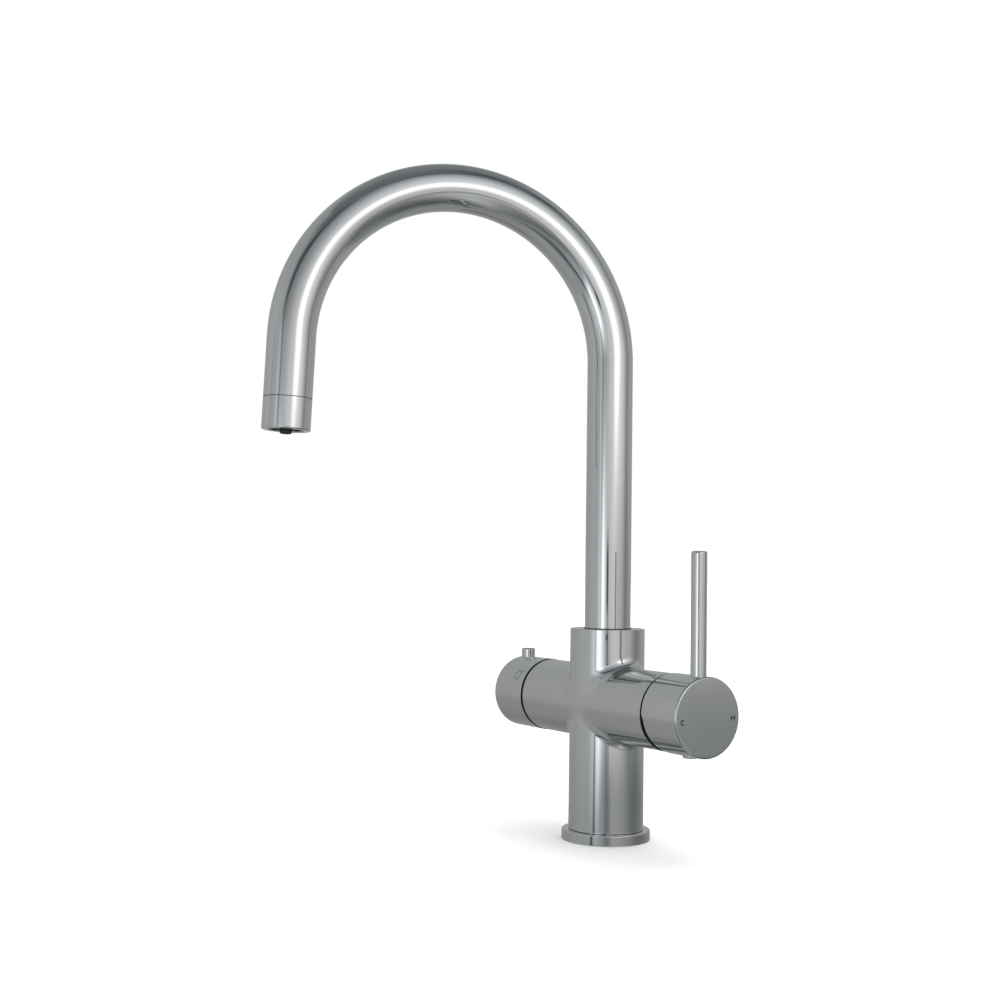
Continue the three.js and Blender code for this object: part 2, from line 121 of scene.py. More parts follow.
def turned(segs, n=96, matrix=None, shear=None):
    """Turns profile segments about Z into points, faces and corner normals. A point on the axis is one vertex."""
    verts, faces, norms, index = [], [], [], {}
    cos = [math.cos(2 * math.pi * i / n) for i in range(n)]
    sin = [math.sin(2 * math.pi * i / n) for i in range(n)]

    def vert(p, i):
        i %= n
        key = (round(float(p[0]), 4), round(float(p[1]), 4), 0 if abs(p[0]) < 1e-6 else i)
        if key not in index:
            index[key] = len(verts)
            verts.append([p[0] * cos[i], p[0] * sin[i], p[1]])
        return index[key]

    def norm(m, i):
        i %= n
        return [m[0] * cos[i], m[0] * sin[i], m[1]]

    for p, np_, q, nq in segs:
        for i in range(n):
            on_p, on_q = abs(p[0]) < 1e-6, abs(q[0]) < 1e-6
            if on_p and on_q:
                continue
            if on_p:
                faces.append([vert(p, 0), vert(q, i + 1), vert(q, i)])
                norms += [norm(np_, i) if abs(np_[0]) > 1e-6 else [0, 0, np_[1]], norm(nq, i + 1), norm(nq, i)]
            elif on_q:
                faces.append([vert(p, i), vert(p, i + 1), vert(q, 0)])
                norms += [norm(np_, i), norm(np_, i + 1), norm(nq, i) if abs(nq[0]) > 1e-6 else [0, 0, nq[1]]]
            else:
                faces.append([vert(p, i), vert(p, i + 1), vert(q, i + 1), vert(q, i)])
                norms += [norm(np_, i), norm(np_, i + 1), norm(nq, i + 1), norm(nq, i)]
    verts, norms = np.array(verts, float), np.array(norms, float)
    if shear is not None:
        verts = shear(verts)
    if matrix is not None:
        m = np.array(matrix, float)
        verts = verts @ m[:3, :3].T + m[:3, 3]
        norms = norms @ m[:3, :3].T
    return verts, faces, norms


def along(direction, origin):
    """Matrix that takes local Z to direction and the local origin to origin, in millimetres."""
    z = Vector(direction).normalized()
    q = Vector((0, 0, 1)).rotation_difference(z)
    m = q.to_matrix().to_4x4()
    m.translation = Vector(origin)
    return m


def cut(ob, cutters):
    """Cuts solids out of a piece and keeps the piece's own corner normals where its surface stays."""
    old = ob.data
    bm = bmesh.new()
    bm.from_mesh(old)
    bm.faces.ensure_lookup_table()
    tree = BVHTree.FromBMesh(bm, epsilon=0)
    bm.free()
    corner = [tuple(c.vector) for c in old.corner_normals]
    polys = [([old.vertices[v].co.copy() for v in p.vertices], [Vector(corner[l]) for l in p.loop_indices], p.normal.copy()) for p in old.polygons]
    for verts, faces in cutters:
        me = bpy.data.meshes.new("cutter")
        me.from_pydata([tuple(float(c) * MM for c in v) for v in verts], [], faces)
        tool = bpy.data.objects.new("cutter", me)
        scene.collection.objects.link(tool)
        mod = ob.modifiers.new("cut", "BOOLEAN")
        mod.operation, mod.solver, mod.object = "DIFFERENCE", "EXACT", tool
        bpy.context.view_layer.update()
        dg = bpy.context.evaluated_depsgraph_get()
        new = bpy.data.meshes.new_from_object(ob.evaluated_get(dg))
        ob.modifiers.clear()
        ob.data = new
        bpy.data.objects.remove(tool)
    me = ob.data
    me.polygons.foreach_set("use_smooth", [True] * len(me.polygons))
    out = []
    for p in me.polygons:
        loc, nor, idx, dist = tree.find_nearest(p.center)
        keep = idx is not None and dist < 2e-6 and polys[idx][2].dot(p.normal) > 0.8
        for v in p.vertices:
            n = p.normal
            if keep:
                co = me.vertices[v].co
                best = idx
                loc2, nor2, idx2, dist2 = tree.find_nearest(co * 0.98 + p.center * 0.02)
                if idx2 is not None and polys[idx2][2].dot(p.normal) > 0.8:
                    best = idx2
                pts, ns, _ = polys[best]
                w = poly_3d_calc(pts, co)
                n = sum((m * k for m, k in zip(ns, w)), Vector((0, 0, 0)))
                n = n.normalized() if n.length > 1e-6 else p.normal
            out.append(tuple(n))
    me.normals_split_custom_set(out)
    return ob


def paint_gap_shade(ob, test):
    """Paints the faces whose centre and normal pass a test with a dull dark material: painted shade for surfaces
    inside a gap.
    """
    ob.data.materials.append(PAINTED_GAP_SHADE)
    for p in ob.data.polygons:
        if test(p.center / MM, p.normal):
            p.material_index = 1


def drum(r, h0, h1, matrix, n=48):
    """A plain closed cylinder as a cutter."""
    v, f, _ = turned(rounded([(0, h0), (r, h0), (r, h1), (0, h1)]), n, matrix)
    return v, f


def extruded(name, outline, z0, z1, matrix, material, body, holes=(), replaces=(), wrap=None):
    """A flat shape with holes, given as points in millimetres, extruded from z0 to z1."""
    cu = bpy.data.curves.new(name, "CURVE")
    cu.dimensions, cu.fill_mode = "2D", "BOTH"
    for ring in [outline, *holes]:
        sp = cu.splines.new("POLY")
        sp.points.add(len(ring) - 1)
        for p, (x, y) in zip(sp.points, ring):
            p.co = (x, y, 0, 1)
        sp.use_cyclic_u = True
    cu.extrude = (z1 - z0) / 2
    tmp = bpy.data.objects.new(name + "_outline", cu)
    scene.collection.objects.link(tmp)
    bpy.context.view_layer.update()
    me = bpy.data.meshes.new_from_object(tmp.evaluated_get(bpy.context.evaluated_depsgraph_get()))
    bpy.data.objects.remove(tmp)
    bm = bmesh.new()
    bm.from_mesh(me)
    bmesh.ops.remove_doubles(bm, verts=bm.verts, dist=1e-4)
    bmesh.ops.recalc_face_normals(bm, faces=bm.faces)
    co = np.array([v.co[:] for v in bm.verts], float)
    co[:, 2] += (z0 + z1) / 2
    if wrap is not None:
        co = wrap(co)
    m = np.array(matrix, float)
    co = co @ m[:3, :3].T + m[:3, 3]
    bm.verts.index_update()
    faces = [[v.index for v in f.verts] for f in bm.faces]
    bm.free()
    ob = build(name, co, faces, None, material, body, replaces)
    ob.data.polygons.foreach_set("use_smooth", [False] * len(ob.data.polygons))
    bpy.data.meshes.remove(me)
    return ob


# ---------------------------------------------------------------- materials
def material(name, color, metallic=0.0, rough=(0.4, 0.45), noise=40.0, bump=0.0, bump_scale=200.0, tint=None, stretch=(1, 1, 1), **sockets):
    """A surface whose roughness, and colour if a tint is given, wander with noise in the object's own space."""
    m = bpy.data.materials.new(name)
    m.use_nodes = True
    t = m.node_tree
    b = t.nodes["Principled BSDF"]
    b.inputs["Metallic"].default_value = metallic
    b.inputs["Base Color"].default_value = (*color, 1)
    for k, v in sockets.items():
        b.inputs[k.replace("_", " ")].default_value = v
    tc = t.nodes.new("ShaderNodeTexCoord")
    mp = t.nodes.new("ShaderNodeMapping")
    mp.inputs["Scale"].default_value = stretch
    t.links.new(tc.outputs["Object"], mp.inputs["Vector"])
    no = t.nodes.new("ShaderNodeTexNoise")
    no.inputs["Scale"].default_value = noise
    no.inputs["Detail"].default_value = 4.0
    t.links.new(mp.outputs["Vector"], no.inputs["Vector"])
    mr = t.nodes.new("ShaderNodeMapRange")
    mr.inputs["From Min"].default_value, mr.inputs["From Max"].default_value = 0.3, 0.7
    mr.inputs["To Min"].default_value, mr.inputs["To Max"].default_value = rough
    t.links.new(no.outputs["Fac"], mr.inputs["Value"])
    t.links.new(mr.outputs["Result"], b.inputs["Roughness"])
    if tint is not None:
        mx = t.nodes.new("ShaderNodeMix")
        mx.data_type = "RGBA"
        mx.inputs["A"].default_value = (*color, 1)
        mx.inputs["B"].default_value = (*tint, 1)
        t.links.new(no.outputs["Fac"], mx.inputs["Factor"])
        t.links.new(mx.outputs["Result"], b.inputs["Base Color"])
    if bump:
        n2 = t.nodes.new("ShaderNodeTexNoise")
        n2.inputs["Scale"].default_value = bump_scale
        n2.inputs["Detail"].default_value = 3.0
        t.links.new(mp.outputs["Vector"], n2.inputs["Vector"])
        bp = t.nodes.new("ShaderNodeBump")
        bp.inputs["Strength"].default_value = bump
        bp.inputs["Distance"].default_value = 0.0001
        t.links.new(n2.outputs["Fac"], bp.inputs["Height"])
        t.links.new(bp.outputs["Normal"], b.inputs["Normal"])
    return m


CHROME = material("chrome", (0.665, 0.669, 0.664), 1.0, (0.015, 0.03), 25.0, tint=(0.65, 0.655, 0.65))
CHROME_CAST = material("chrome_cast", (0.665, 0.669, 0.664), 1.0, (0.02, 0.045), 30.0, tint=(0.645, 0.65, 0.645))
# A rougher, darker copy of chrome: the rough finish is real, the darker colour is painted shade that dims the cap's
# face edge and the screw plug.
CHROME_EDGE_SHADED = material("chrome_edge_shaded", (0.615, 0.619, 0.614), 1.0, (0.19, 0.23), 60.0, tint=(0.6, 0.605, 0.6))
BRASS = material("brass", (0.60, 0.43, 0.20), 1.0, (0.28, 0.42), 120.0, tint=(0.5, 0.35, 0.16), stretch=(1, 1, 14))
STEEL = material("steel", (0.46, 0.47, 0.48), 1.0, (0.22, 0.36), 160.0, tint=(0.38, 0.39, 0.40))
RUBBER = material("rubber", (0.022, 0.022, 0.023), 0.0, (0.62, 0.8), 90.0, bump=0.3, bump_scale=900.0)
BLACK = material("black_plastic", (0.012, 0.012, 0.013), 0.0, (0.34, 0.46), 120.0, bump=0.25, bump_scale=1500.0)
WHITE = material("white_plastic", (0.78, 0.78, 0.75), 0.0, (0.42, 0.55), 120.0, bump=0.2, bump_scale=1200.0)
CERAMIC = material("ceramic", (0.86, 0.85, 0.82), 0.0, (0.16, 0.26), 100.0, tint=(0.82, 0.81, 0.78))
SILICONE = material("silicone", (0.66, 0.65, 0.62), 0.0, (0.45, 0.6), 90.0, bump=0.2, bump_scale=700.0)
# Painted shade: a dull near-black material laid on faces inside gaps and joints, standing in for the shadow there.
PAINTED_GAP_SHADE = material("painted_gap_shade", (0.012, 0.012, 0.013), 0.0, (0.55, 0.7), 300.0, tint=(0.02, 0.02, 0.021))
MARK_DARK = material("mark_dark", (0.018, 0.019, 0.022), 0.0, (0.5, 0.62), 400.0, Specular_IOR_Level=0.3)
MARK_BLUE = material("mark_blue", (0.07, 0.11, 0.2), 0.0, (0.38, 0.5), 400.0)
BY_SLOT = {"chrome": CHROME, "brass": BRASS, "steel": STEEL, "rubber": RUBBER, "black_plastic": BLACK,
           "white_plastic": WHITE, "ceramic": CERAMIC, "silicone": SILICONE}
for part in frame["record"]["subparts"]:
    ob = frame["nodes"][part["node"]]
    ob.data.materials.clear()
    ob.data.materials.append(BY_SLOT[part["material_slot"]])

# ---------------------------------------------------------------- body casting
FILLET, FILLET_LOW = 6.6, 3.4          # wider above the arms than below them


def body_field(p):
    """Distance to the blended cross. The blend adds less where the two cylinders run side by side."""
    x, y, z = p[:, 0], p[:, 1], p[:, 2] - AXIS_Z
    rv, rh = np.hypot(x, y), np.hypot(y, z)
    a, b = rv - BODY_R, rh - ARM_R
    side = np.sqrt(np.clip(1 - (y * y) / np.maximum(rv * rh, 1e-6), 0, 1) + 0.012)
    t = np.clip((z + 16) / 24, 0, 1)
    k = 0.6 + (FILLET_LOW + (FILLET - FILLET_LOW) * t * t * (3 - 2 * t)) * side
    h = np.maximum(k - np.abs(a - b), 0) / k
    return np.minimum(a, b) - h * h * k / 4


def body_gradient(p):
    e = 1e-3
    return np.stack([(body_field(p + e * d) - body_field(p - e * d)) / (2 * e) for d in np.eye(3)], 1)


def onto_body(p):
    for _ in range(15):
        g = body_gradient(p)
        p = p - (body_field(p) / np.maximum((g * g).sum(1), 1e-6))[:, None] * g
    return p


N = 192
RUN = [0.5, 1, 1.5, 2, 2.6, 3.2, 4, 5, 6, 7.2, 8.6, 10.2, 12.2, 15]     # millimetres from the seam of two limbs
TH = 2 * np.pi * np.arange(N) / N
bv, bf = [], []


def limb(to_world, radius, end, profile):
    """One limb of the cross: rings from the seam to its end, then its turned end profile down to the axis."""
    c, s = np.cos(TH), np.sin(TH)
    seam = np.abs(BODY_R * c)
    rings = [onto_body(to_world(BODY_R * c, BODY_R * s, seam))]
    for d in RUN:
        rings.append(onto_body(to_world(radius * c, radius * s, seam + d)))
    last = seam + RUN[-1]
    for k in (0.5, 1.0):
        rings.append(to_world(radius * c, radius * s, last + (end - last) * k))
    for p, _, q, _ in rounded(profile, 5):
        rings.append(to_world(q[0] * c, q[0] * s, np.full(N, q[1])))
    start = len(bv)
    bv.extend(np.concatenate(rings).tolist())
    for i in range(len(rings) - 1):
        for j in range(N):
            a, b = start + i * N + j, start + i * N + (j + 1) % N
            bf.append([a, b, b + N, a + N])
    bf.append([start + (len(rings) - 1) * N + j for j in range(N)])


top, foot = BODY_TOP - AXIS_Z, AXIS_Z - FLANGE_H - 0.14
limb(lambda a, b, h: np.stack([a, b, AXIS_Z + h], 1), BODY_R, top - 0.6,
     [(BODY_R, top - 0.6), (BODY_R, top, 0.55), (14.66, top, 0.15), (14.66, 121 - AXIS_Z), (14.4, 121 - AXIS_Z), (14.4, 97 - AXIS_Z), (3, 97 - AXIS_Z)])
limb(lambda a, b, h: np.stack([a, b, AXIS_Z - h], 1), BODY_R, foot - 0.4,
     [(BODY_R, foot - 0.4), (BODY_R, foot, 0.3), (12, foot)])
limb(lambda a, b, h: np.stack([h, b, AXIS_Z + a], 1), ARM_R, ARM_RIGHT - 0.7,
     [(ARM_R, ARM_RIGHT - 0.7), (ARM_R, ARM_RIGHT, 0.25), (18.0, ARM_RIGHT, 0.2), (18.0, 32), (4, 32)])
limb(lambda a, b, h: np.stack([-h, b, AXIS_Z + a], 1), ARM_R, ARM_LEFT - 0.5,
     [(ARM_R, ARM_LEFT - 0.5), (ARM_R, ARM_LEFT, 0.25), (15.0, ARM_LEFT, 0.2), (15.0, 36), (4, 36)])
bm = bmesh.new()
pool = [bm.verts.new(v) for v in bv]
for f in bf:
    bm.faces.new([pool[i] for i in f])
bmesh.ops.remove_doubles(bm, verts=bm.verts, dist=2e-3)
bmesh.ops.dissolve_degenerate(bm, edges=bm.edges, dist=1e-4)
bmesh.ops.recalc_face_normals(bm, faces=bm.faces)
if sum(f.calc_area() * f.normal.dot(f.calc_center_median() - Vector((0, 0, AXIS_Z))) for f in bm.faces) < 0:
    bmesh.ops.reverse_faces(bm, faces=bm.faces)
bm.verts.index_update()
bm.faces.ensure_lookup_table()
body_v = np.array([v.co[:] for v in bm.verts])
grad = body_gradient(body_v)
grad /= np.linalg.norm(grad, axis=1)[:, None]
body_f, body_n = [], []
for f in bm.faces:
    idx = [v.index for v in f.verts]
    body_f.append(idx)
    mid = np.array(f.calc_center_median()[:])
    g = body_gradient(mid[None])[0]
    outer = abs(body_field(mid[None])[0]) < 0.05 and float(g @ np.array(f.normal[:])) > 0.9
    for v in f.verts:
        if outer:
            n = grad[v.index]
        else:
            n = sum((o.normal * o.calc_area() for o in v.link_faces if o.normal.dot(f.normal) > 0.82), Vector((0, 0, 0)))
            n = n.normalized() if n.length > 0 else f.normal
        body_n.append(tuple(n))
bm.free()
body = build("body_shell", body_v, body_f, body_n, CHROME_CAST, "tap_body", ["tap_body"])
cut(body, [drum(2.8, 13.0, 26.0, along((0, 1, 0), (0, 0, 109)), 40)])


def in_arm(c, n):
    r = math.hypot(c.y, c.z - AXIS_Z)
    return (c.x > ARM_RIGHT - 0.1 and r < 22.48) or (c.x < -ARM_LEFT + 0.1 and r < 22.48) or (abs(c.x) > 29 and r < 18.3)


# Painted shade: the arms' end faces and the walls inside the arms are painted dark, as in shadow.
paint_gap_shade(body, in_arm)


def ring(r, n, x=0.0, y=0.0):
    return [(x + r * math.cos(2 * math.pi * i / n), y + r * math.sin(2 * math.pi * i / n)) for i in range(n)]


extruded("body_foot", ring(SPIGOT_R, 128), 0.0, BODY_FOOT - 0.05, Matrix.Identity(4), BRASS, "tap_body",
         holes=[ring(4.5, 40, 6.5, -8), ring(4.5, 40, 6.5, 8), ring(4.5, 40, -10.5, 0), ring(2.5, 32, -7, -13), ring(2.5, 32, -7, 13)])

v, f, n = turned(rounded([(SPIGOT_R + 0.35, 0), (21.8, 0), (21.8, 2.0), (25.0, 2.0), (25.0, 0), (FLANGE_R, 0, 0.35), (FLANGE_R, FLANGE_H, 0.7),
                          (SPIGOT_R + 0.35, FLANGE_H), (SPIGOT_R + 0.35, 0)], 7), 160)
build("flange", v, f, n, CHROME_CAST, "tap_body", ["base_flange"])
v, f, n = turned(rounded([(14.12, 121.3), (14.6, 121.3), (14.6, 127.9, 0.1), (14.12, 127.9, 0.1), (14.12, 121.3)], 4), 128)
build("glide_ring", v, f, n, BLACK, "tap_body", ["spout_glide_ring"])

# ---------------------------------------------------------------- spout
U = np.array([math.sin(SPOUT), -math.cos(SPOUT), 0.0])
Z = np.array([0.0, 0.0, 1.0])
SIDE = np.cross(U, Z)


def line(a, end=0.0, z=None):
    """Point and tangent of the spout's centre line at bend angle a, end millimetres past the bend, or at height z below it."""
    if z is not None:
        return np.array([0, 0, z], float), Z
    t = U * math.sin(a) + Z * math.cos(a)
    return U * BEND_R * (1 - math.cos(a)) + Z * (BEND_Z + BEND_R * math.sin(a)) + t * end, t


def stations(z0, tail, steps):
    out = [line(0, z=z0), line(0, z=z0 + (BEND_Z - z0) / 2)]
    out += [line(BEND * i / steps) for i in range(steps + 1)]
    return out + [line(BEND, end=tail / 2), line(BEND, end=tail)]


def pipe(name, r_out, r_in, z0, tail, n, steps, mat, body, replaces):
    st = stations(z0, tail, steps)
    vs, fs, ns = [], [], []
    frames = [(p, t, np.cross(t, SIDE)) for p, t in st]
    for r in (r_out, r_in):
        for p, t, up in frames:
            for j in range(n):
                a = 2 * math.pi * j / n
                vs.append(p + r * (math.cos(a) * SIDE + math.sin(a) * up))
    m = len(frames)

    def nor(i, j, s):
        a = 2 * math.pi * (j % n) / n
        return s * (math.cos(a) * SIDE + math.sin(a) * frames[i][2])
    for i in range(m - 1):
        for j in range(n):
            k = (j + 1) % n
            a, b, c, d = i * n + j, i * n + k, (i + 1) * n + k, (i + 1) * n + j
            fs.append([a, b, c, d]); ns += [nor(i, j, 1), nor(i, k, 1), nor(i + 1, k, 1), nor(i + 1, j, 1)]
            o = m * n
            fs.append([o + d, o + c, o + b, o + a]); ns += [nor(i + 1, j, -1), nor(i + 1, k, -1), nor(i, k, -1), nor(i, j, -1)]
    for i, s in ((0, -1), (m - 1, 1)):
        for j in range(n):
            k = (j + 1) % n
            o, q = i * n, m * n + i * n
            face = [o + j, q + j, q + k, o + k] if s < 0 else [o + k, q + k, q + j, o + j]
            fs.append(face); ns += [s * frames[i][1]] * 4
    # the outside must face out: test one quad
    a, b, c = (np.array(vs[x]) for x in fs[0][:3])
    if np.dot(np.cross(b - a, c - a), nor(0, 0, 1)) < 0:
        order = []
        pos = 0
        for x in range(len(fs)):
            fs[x] = fs[x][::-1]
            order += ns[pos:pos + 4][::-1]
            pos += 4
        ns = order
    return build(name, vs, fs, ns, mat, body, replaces)


neck = pipe("swan_neck", TUBE_R, TUBE_IN, TUBE_FOOT, TAIL - NOZZLE_L - 0.36, 128, 150, CHROME, "spout", ["spout_tube"])
pipe("inner_hose", 4.0, 2.8, 101.0, TAIL - 16.4, 24, 60, SILICONE, "spout", ["boiling_hose"])

tip_p, tip_t = line(BEND, end=TAIL)
TIP = along(-tip_t, tip_p)
v, f, n = turned(rounded([(10.2, 14.2), (10.2, 0, 0.5), (TUBE_R, 0, 0.9), (TUBE_R, NOZZLE_L, 0.08), (12.1, NOZZLE_L), (12.1, 27), (9.2, 27), (9.2, 14.2), (10.2, 14.2)], 10), 160, TIP)
nozzle = build("nozzle", v, f, n, CHROME, "spout", ["nozzle_ring"])
# Painted shade: the end faces where the tube meets the nozzle ring are painted dark, as in shadow.
for ob in (neck, nozzle):
    paint_gap_shade(ob, lambda c, n: abs(n.dot(Vector(tip_t))) > 0.7 and NOZZLE_L - 0.2 < (Vector(tip_p) - c).dot(Vector(tip_t)) < NOZZLE_L + 0.5)
v, f, n = turned(rounded([(3.95, 13.9), (3.95, 1.6, 0.2), (5.6, 1.6, 0.2), (5.6, 2.6), (8.6, 2.6), (8.6, 1.5, 0.3), (9.9, 1.5, 0.3), (9.9, 13.9), (3.95, 13.9)], 4), 96, TIP)
aerator = build("aerator_insert", v, f, n, BLACK, "spout", ["aerator"])
slots = []
for i in range(16):
    a = (i + 0.5) / 16 * 2 * math.pi
    m = TIP @ Matrix.Translation((7.1 * math.cos(a), 7.1 * math.sin(a), 0))
    slots.append(drum(0.75, -3.0, 15.0, m, 12))
cut(aerator, slots)
v, f, n = turned(rounded([(2.3, 4), (2.3, -2.0, 0.2), (3.55, -2.0, 0.95), (3.55, 16.1), (2.5, 16.1), (2.5, 26, 0.3), (1.6, 26), (1.6, 6), (2.3, 4)], 5), 64, TIP)
build("outlet", v, f, n, BLACK, "spout", ["boiling_outlet"])

# ---------------------------------------------------------------- mixer lever
RIGHT = Matrix(((0, 0, 1, 0), (0, 1, 0, 0), (-1, 0, 0, AXIS_Z), (0, 0, 0, 1)))     # local Z out of the right arm
LEFT = Matrix(((0, 0, -1, 0), (0, 1, 0, 0), (1, 0, 0, AXIS_Z), (0, 0, 0, 1)))       # local Z out of the left arm


def stand_back(v):
    """The rim of the cap stands back round its lower half, most at the bottom. Local X is down here."""
    v = v.copy()
    t = np.clip((v[:, 0] + 1.0) / 5.0, 0, 1)
    v[:, 2] += np.where(v[:, 2] < CAP_RIM + 1, CAP_RELIEF * t * t * (3 - 2 * t) + 0.08 * np.maximum(v[:, 0] - 4, 0) + 0.007 * np.maximum(v[:, 0] - 10, 0) ** 2, 0)
    return v


v, f, n = turned(rounded([(0, 82.5), (20.0, 82.5), (20.0, CAP_RIM + 6.0), (21.6, CAP_RIM, 0.1), (CAP_R, CAP_RIM, 0.2),
                          (CAP_R, CAP_RIM + 5.5), (CAP_R, CAP_FACE, 1.3), (0, CAP_FACE)], 12), N, RIGHT, stand_back)
cap = build("lever_cap", v, f, n, CHROME_CAST, "mixer_lever", ["mixer_cap"])
down = along((0, 0, -1), (PLUG_X, 0, AXIS_Z))
seat = turned(rounded([(0, 20.5), (ROD_R + 0.2, 20.5), (ROD_R + 0.2, 22.1), (ROD_R + 1.2, 23.1), (ROD_R + 1.2, 24), (0, 24)]), 64, Matrix.Translation((ROD_X, 0, AXIS_Z)))
cut(cap, [drum(PLUG_R + 0.25, 18.0, 26.0, down, 64), seat[:2]])
# Painted shade: the cap's inner surfaces behind its rim are painted dark, as in shadow, apart from the seat round the
# rod.
paint_gap_shade(cap, lambda c, n: math.hypot(c.y, c.z - AXIS_Z) < CAP_R - 0.1 and c.x < CAP_FACE - 5 and not (c.z > AXIS_Z + 21.6 and math.hypot(c.x - ROD_X, c.y) > ROD_R + 0.25 and c.x > 80))
# Painted shade: the rounded edge of the cap's face takes the darker rough chrome, dimming its highlight.
cap.data.materials.append(CHROME_EDGE_SHADED)
for p in cap.data.polygons:
    c = p.center / MM
    if c.x > CAP_FACE - 1.28 and math.hypot(c.y, c.z - AXIS_Z) > CAP_R - 1.28 and p.normal.x < 0.999:
        p.material_index = 2
v, f, n = turned(rounded([(0, 70), (9, 70, 0.5), (9, 83), (0, 83)], 4), 64, RIGHT)
build("lever_cap_boss", v, f, n, BRASS, "mixer_lever", ())
v, f, n = turned(rounded([(0, 14.3 + AXIS_Z), (ROD_R, 14.3 + AXIS_Z), (ROD_R, ROD_TOP, 1.25), (0, ROD_TOP)], 10), 80, Matrix.Translation((ROD_X, 0, 0)))
build("lever_rod", v, f, n, CHROME, "mixer_lever", ["mixer_rod"])
# Painted shade: the screw plug takes the darker rough chrome, so it reads less lit under the cap.
v, f, n = turned(rounded([(0, 15.4), (PLUG_R, 15.4), (PLUG_R, AXIS_Z - PLUG_BOTTOM, 0.9), (0, AXIS_Z - PLUG_BOTTOM)], 8), 64, down)
build("screw_plug", v, f, n, CHROME_EDGE_SHADED, "mixer_lever", ["mixer_screw_plug"])

# ---------------------------------------------------------------- boiling knob
v, f, n = turned(rounded([(0, 85), (19.5, 85), (19.5, KNOB_RIM, 0.2), (CAP_R, KNOB_RIM, 0.2), (CAP_R, KNOB_FACE, 0.75), (0, KNOB_FACE)], 8), N, LEFT)
knob = build("knob", v, f, n, CHROME_CAST, "boiling_knob", ["boiling_knob"])
cut(knob, [drum(1.7, 10.0, 26.0, along((0, 1, 0), (-72, 0, AXIS_Z)), 32)])
# Painted shade: the knob's inner surfaces behind its rim are painted dark, as in shadow.
paint_gap_shade(knob, lambda c, n: math.hypot(c.y, c.z - AXIS_Z) < CAP_R - 0.1 and c.x > -KNOB_FACE + 5)
v, f, n = turned(rounded([(0, 67.4), (6.8, 67.4, 0.4), (6.8, 85.5), (0, 85.5)], 4), 64, LEFT)
build("knob_boss", v, f, n, BRASS, "boiling_knob", ())
v, f, n = turned(rounded([(0, 96.6), (PIN_R, 96.6), (PIN_R, PIN_TOP, 0.85), (0, PIN_TOP)], 8), 64, Matrix.Translation((-PIN_X, 0, 0)))
build("thumb_pin", v, f, n, CHROME, "boiling_knob", ["boiling_knob_pin"])

# ---------------------------------------------------------------- marks
FACE = Matrix(((0, 0, 1, CAP_FACE), (1, 0, 0, 0), (0, 1, 0, 0), (0, 0, 0, 1)))      # local X = +Y, local Y = up, on the cap's face


def arc(r, a0, a1, n, x=0.0, y=0.0):
    return [(x + r * math.cos(math.radians(a0 + (a1 - a0) * i / n)), y + r * math.sin(math.radians(a0 + (a1 - a0) * i / n))) for i in range(n + 1)]


cx, cz = -17.6, 80.35
extruded("mark_c", arc(1.55, 42, 318, 36, cx, cz) + arc(0.9, 318, 42, 30, cx, cz), -0.05, 0.03, FACE, MARK_DARK, "mixer_lever")
hx, hz, w, h, s = 17.9, 81.6, 1.2, 1.5, 0.32
letter = [(-w - s, -h), (-w + s, -h), (-w + s, -s), (w - s, -s), (w - s, -h), (w + s, -h), (w + s, h), (w - s, h), (w - s, s), (-w + s, s), (-w + s, h), (-w - s, h)]
extruded("mark_h", [(hx + a, hz + b) for a, b in letter], -0.05, 0.03, FACE, MARK_DARK, "mixer_lever")


def outline_of(points, width):
    """A stroke of the given width along a closed polyline, as an outer and an inner ring with a point every 0.4 mm."""
    p = []
    for a, b in zip(np.array(points, float), np.roll(np.array(points, float), -1, axis=0)):
        k = max(1, int(np.linalg.norm(b - a) / 0.4))
        p += [a + (b - a) * i / k for i in range(k)]
    p = np.array(p)
    out, inn = [], []
    for i in range(len(p)):
        a, b, c = p[i - 1], p[i], p[(i + 1) % len(p)]
        t = (b - a) / np.linalg.norm(b - a) + (c - b) / np.linalg.norm(c - b)
        t /= np.linalg.norm(t)
        nrm = np.array([t[1], -t[0]])
        out.append(tuple(b + nrm * width / 2)); inn.append(tuple(b - nrm * width / 2))
    return out, inn


def onto_knob(co):
    """Flat millimetres (x along the arm, y round it) onto the knob's surface, z outward."""
    r = CAP_R + co[:, 2]
    a = co[:, 1] / CAP_R
    return np.stack([co[:, 0], -r * np.cos(a), AXIS_Z + r * np.sin(a)], 1)


cup = [(-74.7, 16.0), (-74.7, 11.5), (-74.3, 10.6), (-73.4, 10.15), (-71.3, 10.15), (-70.4, 10.6), (-70.0, 11.5), (-70.0, 14.7), (-69.5, 15.5), (-68.7, 16.0)]
outer, inner = outline_of(cup, 0.78)
extruded("mark_cup", outer, -0.05, 0.03, Matrix.Identity(4), MARK_BLUE, "boiling_knob", holes=[inner], wrap=onto_knob)

# ---------------------------------------------------------------- camera
cam = bpy.data.cameras.new("camera")
cam.sensor_fit, cam.sensor_width, cam.lens = "HORIZONTAL", 36.0, 51.476
cam.clip_start, cam.clip_end = 0.01, 50
cam_ob = bpy.data.objects.new("camera", cam)
scene.collection.objects.link(cam_ob)
r_, u_, f_ = (0.51641875, 0.85623126, 0.01340492), (0.03191052, -0.0348844, 0.99888177), (-0.85574143, 0.51541352, 0.04533774)
cam_ob.matrix_world = Matrix(((r_[0], u_[0], -f_[0], 0.7188915), (r_[1], u_[1], -f_[1], -0.5112285), (r_[2], u_[2], -f_[2], 0.1655098), (0, 0, 0, 1)))
scene.camera = cam_ob

